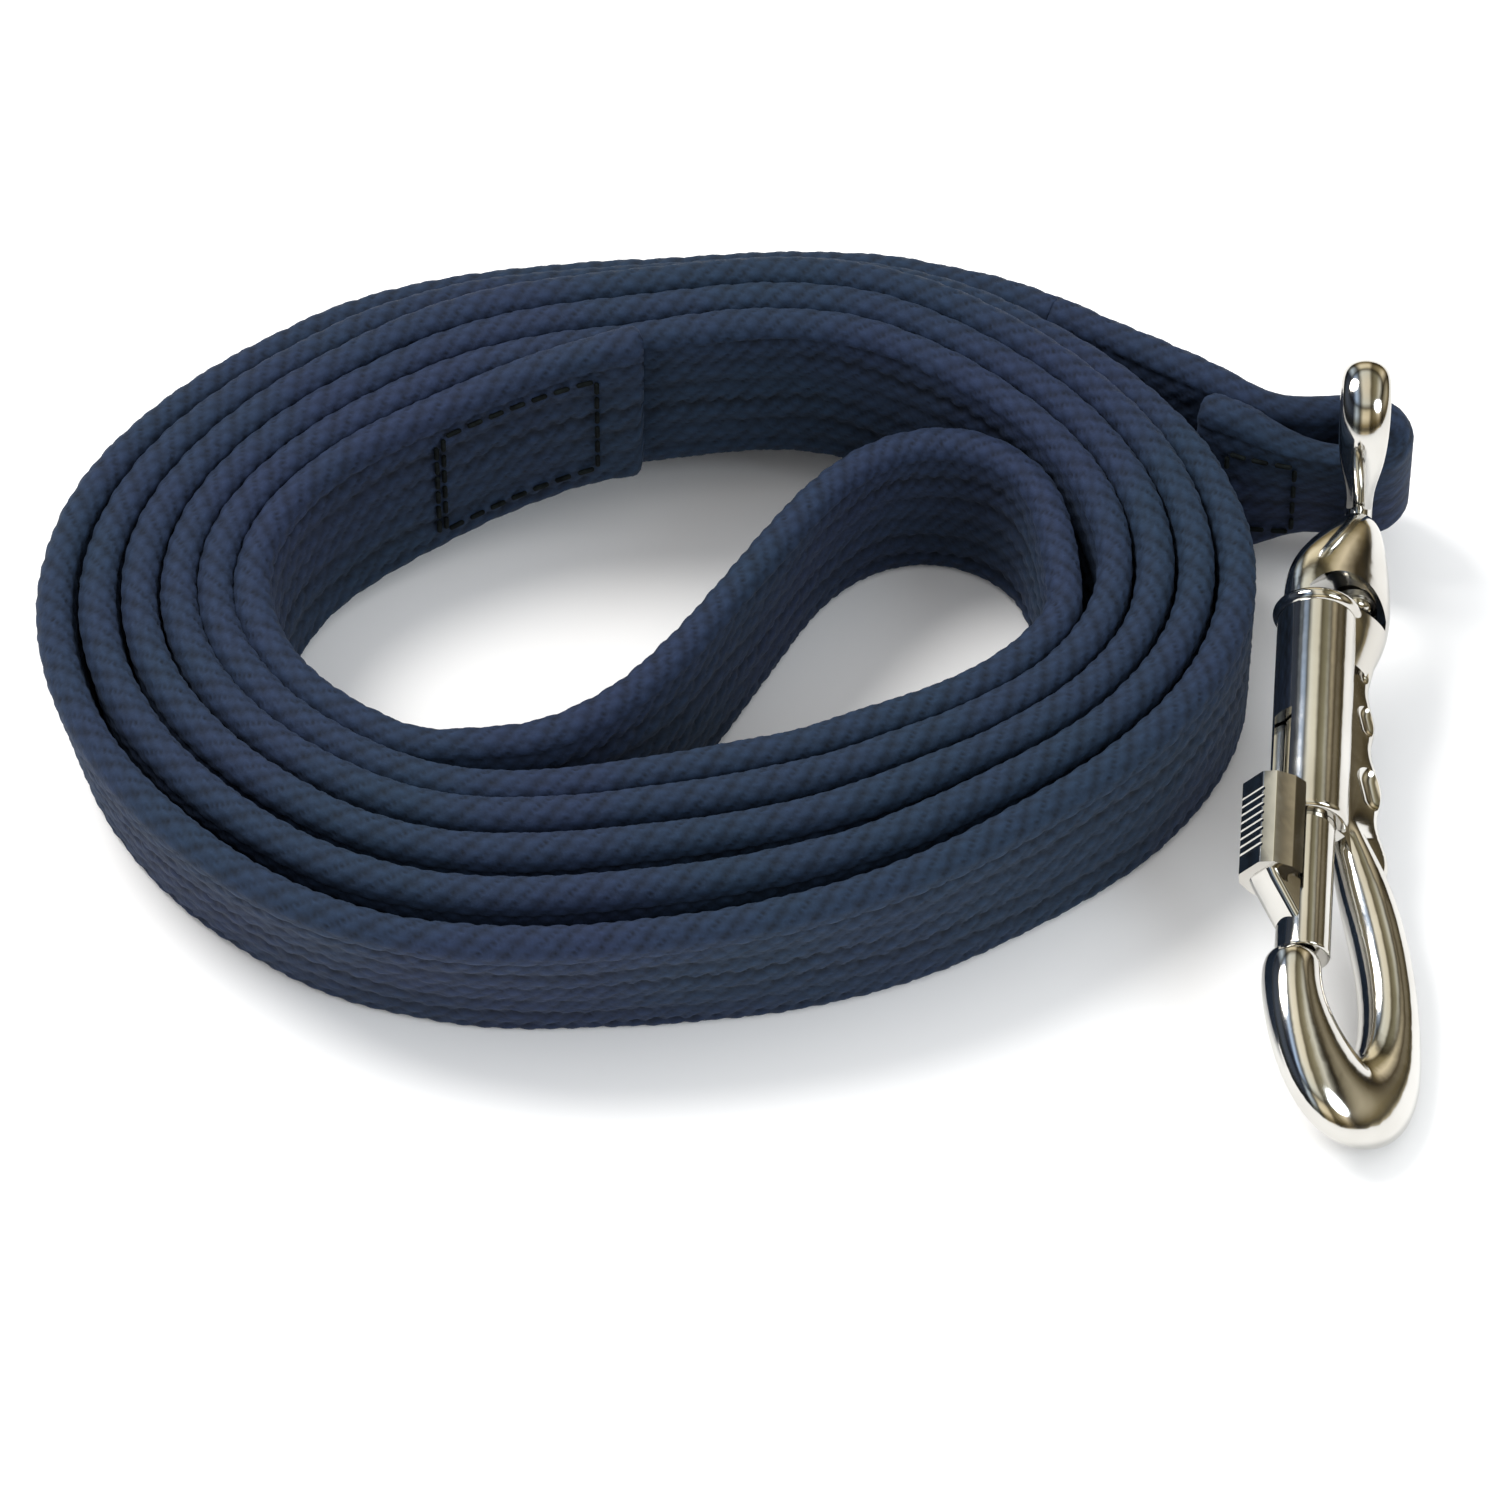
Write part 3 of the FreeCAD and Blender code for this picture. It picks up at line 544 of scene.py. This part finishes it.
# ---- the pieces ------------------------------------------------------------------------------
rows = all_rows()
hinge = min(range(len(rows)), key=lambda i: math.dist(rows[i][:2], TAIL_HINGE))
woven = woven_material()
coil = strap_mesh("webbing_coil", rows[:hinge + 1], 0.0, True, False)
tail = strap_mesh("webbing_tail", rows[hinge:], hinge * ROW_STEP, False, True)
for strap in (coil, tail):
    strap.data.materials.append(woven)
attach(coil, "coil")
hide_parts("webbing_cover", "webbing_core")
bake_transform(tail)
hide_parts("tail_cover", "tail_core")
thread = thread_material()
chrome = chrome_material()
steel = steel_material()
for name in ("loop_stitching", "snap_end_stitching"):
    finish_node(name, thread)
for name in ("swivel_eye", "snap_body", "bolt"):
    finish_node(name, chrome)
finish_node("swivel_washer", steel)
spring_coil(steel)


# ---- floor, light and camera -----------------------------------------------------------------
FOCUS = Vector((12.4, -8.5, 0.0)) * MM
FLOOR_REACH = 6.0
CAMERA_PLACE = Vector((12.386, -734.5, 826.4)) * MM
CAMERA_TARGET = Vector((12.386, -8.506, 0.0)) * MM
LENS = 211.2


def floor():
    mesh = bpy.data.meshes.new("floor")
    corners = [(x * FLOOR_REACH, y * FLOOR_REACH, 0) for x, y in ((-1, -1), (1, -1), (1, 1), (-1, 1))]
    mesh.from_pydata(corners, [], [(0, 1, 2, 3)])
    plane = bpy.data.objects.new("floor", mesh)
    bpy.context.scene.collection.objects.link(plane)
    material, _, shader = new_material("pale_floor")
    shader.inputs["Base Color"].default_value = (0.9, 0.9, 0.9, 1.0)
    shader.inputs["Roughness"].default_value = 0.9
    mesh.materials.append(material)


def lamp(name, place, size, power, colour):
    light = bpy.data.lights.new(name, "AREA")
    light.shape = "DISK"
    light.size = size
    light.energy = power
    light.color = colour
    holder = bpy.data.objects.new(name, light)
    bpy.context.scene.collection.objects.link(holder)
    holder.location = place
    holder.rotation_mode = "QUATERNION"
    holder.rotation_quaternion = (FOCUS - Vector(place)).to_track_quat("-Z", "Y")


def room():
    """White to the camera; to reflections a room with a pale ceiling, warm walls and dark gaps."""
    world = bpy.data.worlds.new("room")
    bpy.context.scene.world = world
    world.use_nodes = True
    tree = world.node_tree
    tree.nodes.clear()
    place = tree.nodes.new("ShaderNodeTexCoord")
    split = tree.nodes.new("ShaderNodeSeparateXYZ")
    tree.links.new(place.outputs["Generated"], split.inputs["Vector"])
    height = ramp(tree, split.outputs["Z"],
                  [(0.0, (0.75, 0.68, 0.52)), (0.08, (0.10, 0.09, 0.07)), (0.20, (0.34, 0.29, 0.19)),
                   (0.40, (1.0, 0.95, 0.84)), (0.56, (0.9, 0.86, 0.74)), (0.66, (0.16, 0.15, 0.13)),
                   (0.78, (0.85, 0.92, 1.0)), (1.0, (1.0, 1.0, 1.0))])
    side = tree.nodes.new("ShaderNodeMapRange")
    side.inputs["From Min"].default_value = -1.0
    tree.links.new(split.outputs["X"], side.inputs["Value"])
    walls = ramp(tree, side.outputs["Result"],
                 [(0.0, (0.10, 0.13, 0.20)), (0.20, (0.03, 0.04, 0.07)), (0.27, (0.75, 0.92, 1.2)),
                  (0.36, (0.12, 0.12, 0.11)), (0.43, (1.2, 1.12, 0.92)), (0.56, (1.1, 1.0, 0.78)),
                  (0.61, (0.16, 0.13, 0.07)), (0.72, (0.42, 0.36, 0.22)), (0.80, (1.1, 1.0, 0.8)),
                  (0.88, (0.10, 0.08, 0.05)), (1.0, (0.9, 0.85, 0.7))])
    tone = tree.nodes.new("ShaderNodeVectorMath")
    tone.operation = "MULTIPLY"
    tree.links.new(height.outputs["Color"], tone.inputs[0])
    tree.links.new(walls.outputs["Color"], tone.inputs[1])
    seen = tree.nodes.new("ShaderNodeLightPath")
    choose = tree.nodes.new("ShaderNodeMixRGB")
    choose.inputs["Color1"].default_value = (1, 1, 1, 1)
    tree.links.new(seen.outputs["Is Glossy Ray"], choose.inputs["Fac"])
    tree.links.new(tone.outputs[0], choose.inputs["Color2"])
    background = add(tree, "ShaderNodeBackground", Strength=1.0)
    out = tree.nodes.new("ShaderNodeOutputWorld")
    tree.links.new(choose.outputs["Color"], background.inputs["Color"])
    tree.links.new(background.outputs["Background"], out.inputs["Surface"])


def camera():
    data = bpy.data.cameras.new("camera")
    data.lens = LENS
    data.sensor_width = 36.0
    data.clip_start = 0.01
    holder = bpy.data.objects.new("camera", data)
    bpy.context.scene.collection.objects.link(holder)
    holder.location = CAMERA_PLACE
    holder.rotation_mode = "QUATERNION"
    holder.rotation_quaternion = (CAMERA_TARGET - holder.location).to_track_quat("-Z", "Y")
    bpy.context.scene.camera = holder


floor()
room()
lamp("key", (-0.5, 0.25, 0.9), 0.5, 9.0, (1.0, 0.98, 0.95))
lamp("fill", (0.8, -0.7, 0.8), 0.6, 5.0, (0.85, 0.93, 1.0))
camera()
bpy.context.scene.view_settings.view_transform = "Standard"
